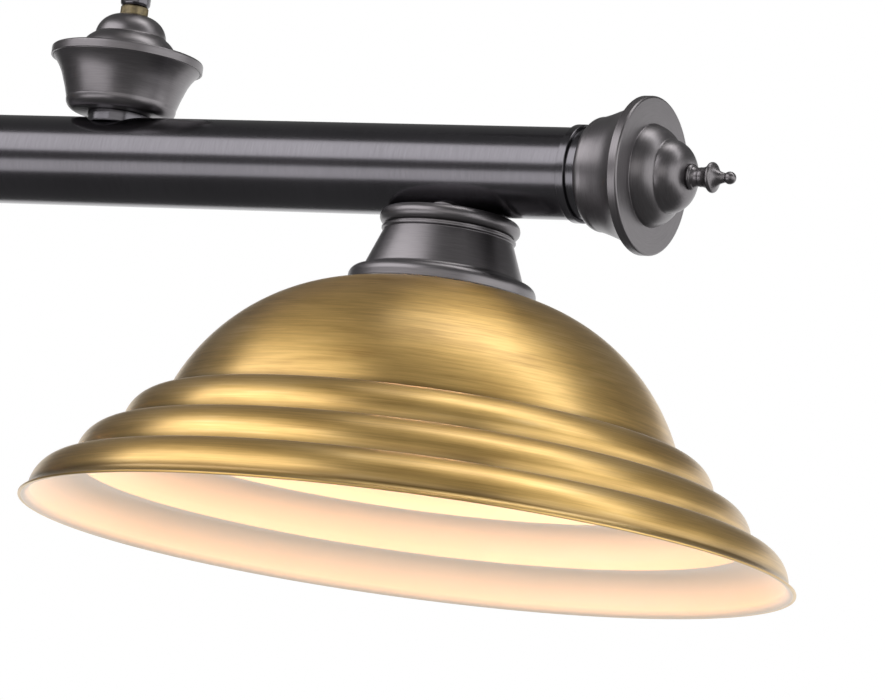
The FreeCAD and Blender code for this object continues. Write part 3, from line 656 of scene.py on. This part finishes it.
def pairOver(word, node, sizes, finish):
    # one ring for each side, on the axis of its hang cup
    low, high = boxes[node]
    feet = [Vector((middles[f"{side}_hang_cup"].x, middles[f"{side}_hang_cup"].y, low.z))
            for side in sides]
    ringPieces([side + word for side in sides], node, sizes, finish, "up", feet,
               (high.z - low.z) / mm)


pairOver("Saddle", "saddle_washers", saddleSizes, bronze)
pairOver("LockRing", "lock_rings", lockRingSizes, agedFitting)
pairOver("CanopyNut", "canopy_nuts", canopyNutSizes, bronze)
print("bar and ends made")


# rods, swivels and ceiling parts

milledSizes = {"edge": 0.35, "pinEdge": 0.2, "sharp": math.radians(28), "flat": math.radians(0.6)}


def easedCopy(name, node, finish, edge):
    # a welded copy of a milled part, its edges broken
    shape = bmesh.new()
    shape.from_mesh(frame["nodes"][node].data)
    bmesh.ops.remove_doubles(shape, verts=shape.verts, dist=2e-6)
    bmesh.ops.dissolve_limit(shape, angle_limit=milledSizes["flat"], verts=shape.verts,
                             edges=shape.edges)
    edges = [e for e in shape.edges if e.is_manifold
             and e.calc_face_angle() > milledSizes["sharp"]]
    bmesh.ops.bevel(shape, geom=edges, affect="EDGES", offset=edge * mm, segments=2,
                    profile=0.5, material=-1, clamp_overlap=True)
    grain = shape.verts.layers.float_vector.new("grain")
    for vert in shape.verts:
        out = vert.co.xy - middles[node].xy
        radius = max(out.length, 1e-6)
        vert[grain] = (out.x / radius, out.y / radius, vert.co.z / mm)
    for face in shape.faces:
        face.smooth = True
    piece = addPiece(name, meshOf(shape, [finish]), finish, node)
    weighted = piece.modifiers.new("flatFaces", "WEIGHTED_NORMAL")
    weighted.keep_sharp = True
    return piece


rodSizes = {"radius": 6.35, "bore": 5.2, "edge": 0.25, "steps": 72, "runs": 12}
low, high = boxes["left_rod"]
turnedPieces([(f"{side}Rod", f"{side}_rod", "up", None) for side in sides],
             tubeLine(rodSizes, (high.z - low.z) / mm), bronze, rodSizes["edge"], rodSizes["steps"])
milled = {"lower_barrel": "LowerBarrel", "rod_ends": "RodEnds", "swivel_block": "SwivelBlock",
          "hanger": "Hanger"}
for side in sides:
    for part, word in milled.items():
        easedCopy(side + word, f"{side}_{part}", bronze, milledSizes["edge"])
    easedCopy(f"{side}BlockPin", f"{side}_block_pin", zinc, milledSizes["pinEdge"])
print("rods and ceiling parts made")

hiddenFinishes = {
    "end_plugs": zinc, "end_studs": zinc, "hang_nipples": zinc, "hang_nipple_nuts": zinc,
    "lamp_nipples": zinc, "lamp_nipple_nuts": zinc, "lower_pins": zinc, "hanger_pins": zinc,
    "ceiling_straps": zinc, "strap_nuts": zinc, "socket_screw_shells": fitting,
    "bar_wires": rubber,
}
for node, finish in hiddenFinishes.items():
    mesh = frame["nodes"][node].data
    mesh.materials.clear()
    mesh.materials.append(finish.material)
print("inner parts finished")


# studio

studio = {
    "floor": -1.6, "floorSize": 60.0, "floorGlow": 0.4, "backdrop": 1.0, "fill": 0.57, "room": 0.15,
    "lights": {
        # name: (place, aimed at, width, height, radiance, colour)
        "upperFront": ((-1.38, -2.2, 1.78), (0.3, 0, 0.15), 4.2, 2.2, 2.5, (1, 0.985, 1)),
        "lowerFront": ((-0.75, -2.1, -0.79), (0.3, 0, 0.15), 3.0, 1.15, 1.8, (1, 0.985, 1)),
        "cameraSide": ((1.7, -3.3, 0.5), (0.3, 0, 0.1), 3.2, 1.8, 0.95, (1, 0.985, 0.97)),
        "overhead": ((0.8, 0.15, 2.6), (0.58, 0, 0.1), 1.1, 1.7, 1.7, (1, 0.99, 0.97)),
        "rearWall": ((0.0, 3.4, -0.2), (0.3, 0, 0.05), 8.0, 3.2, 1.0, (1, 1, 1)),
        "rightSide": ((1.7, 0.3, 2.35), (0.58, 0, 0.05), 0.7, 2.6, 3.0, (1, 1, 1)),
        "rightWall": ((3.9, 0.2, 0.4), (0.5, 0, 0.1), 5.5, 2.6, 1.6, (1, 1, 1)),
    },
}


def studioLight(name, place, target, width, height, radiance, colour):
    data = bpy.data.lights.new(name, "AREA")
    data.shape = "RECTANGLE"
    data.size, data.size_y = width, height
    data.energy = radiance * math.pi * width * height
    data.color = colour
    light = bpy.data.objects.new(name, data)
    scene.collection.objects.link(light)
    way = Vector(target) - Vector(place)
    turn = way.to_track_quat("-Z", "Y").to_matrix().to_4x4()
    light.matrix_world = Matrix.Translation(place) @ turn
    light.visible_camera = False


for name, (place, target, width, height, radiance, colour) in studio["lights"].items():
    studioLight(name, place, target, width, height, radiance, colour)

floorShape = bmesh.new()
bmesh.ops.create_grid(floorShape, x_segments=1, y_segments=1, size=studio["floorSize"] / 2,
                      matrix=Matrix.Translation((0, 0, studio["floor"])))
floorMesh = bpy.data.meshes.new("floor")
floorShape.to_mesh(floorMesh)
floorShape.free()
floor = bpy.data.objects.new("floor", floorMesh)
scene.collection.objects.link(floor)
floor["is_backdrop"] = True
# pale from every side without lighting the lamp from below
floor.visible_glossy = floor.visible_diffuse = False
paleFloor = Finish("paleFloor", "", Base_Color=(0.82, 0.82, 0.82, 1), Roughness=0.9,
                   Emission_Color=(1, 1, 1, 1), Emission_Strength=studio["floorGlow"])
floorMesh.materials.append(paleFloor.material)

world = bpy.data.worlds.new("studioWorld")
scene.world = world
world.use_nodes = True
bench = Bench(world.node_tree)
glossy = bench.node("ShaderNodeLightPath", {}, {}, "Is Glossy Ray")
seen = bench.node("ShaderNodeLightPath", {}, {}, "Is Camera Ray")
level = studio["fill"] + seen * (studio["backdrop"] - studio["fill"])
level = level + glossy * (studio["room"] - level)
bench.fill(world.node_tree.nodes["Background"], {"Color": (1, 1, 1, 1), "Strength": level})
scene.view_settings.view_transform = "Standard"

cameraSizes = {
    "place": (1.9829, -2.4682, -0.3794), "turn": 29.506, "climb": 9.443, "roll": 7.706,
    "lens": 256.87,
}


def addCamera():
    turn, climb, roll = (math.radians(cameraSizes[key]) for key in ("turn", "climb", "roll"))
    look = Vector((-math.sin(turn) * math.cos(climb), math.cos(turn) * math.cos(climb),
                   math.sin(climb)))
    across = look.cross(Vector((0, 0, 1))).normalized()
    upward = across.cross(look)
    right = across * math.cos(roll) + upward * math.sin(roll)
    up = upward * math.cos(roll) - across * math.sin(roll)
    data = bpy.data.cameras.new("camera")
    data.lens, data.sensor_width = cameraSizes["lens"], 36
    data.clip_end = 200
    camera = bpy.data.objects.new("camera", data)
    scene.collection.objects.link(camera)
    pose = Matrix((right, up, -look)).transposed().to_4x4()
    camera.matrix_world = Matrix.Translation(cameraSizes["place"]) @ pose
    scene.camera = camera


addCamera()
print("studio set")

low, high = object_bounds()
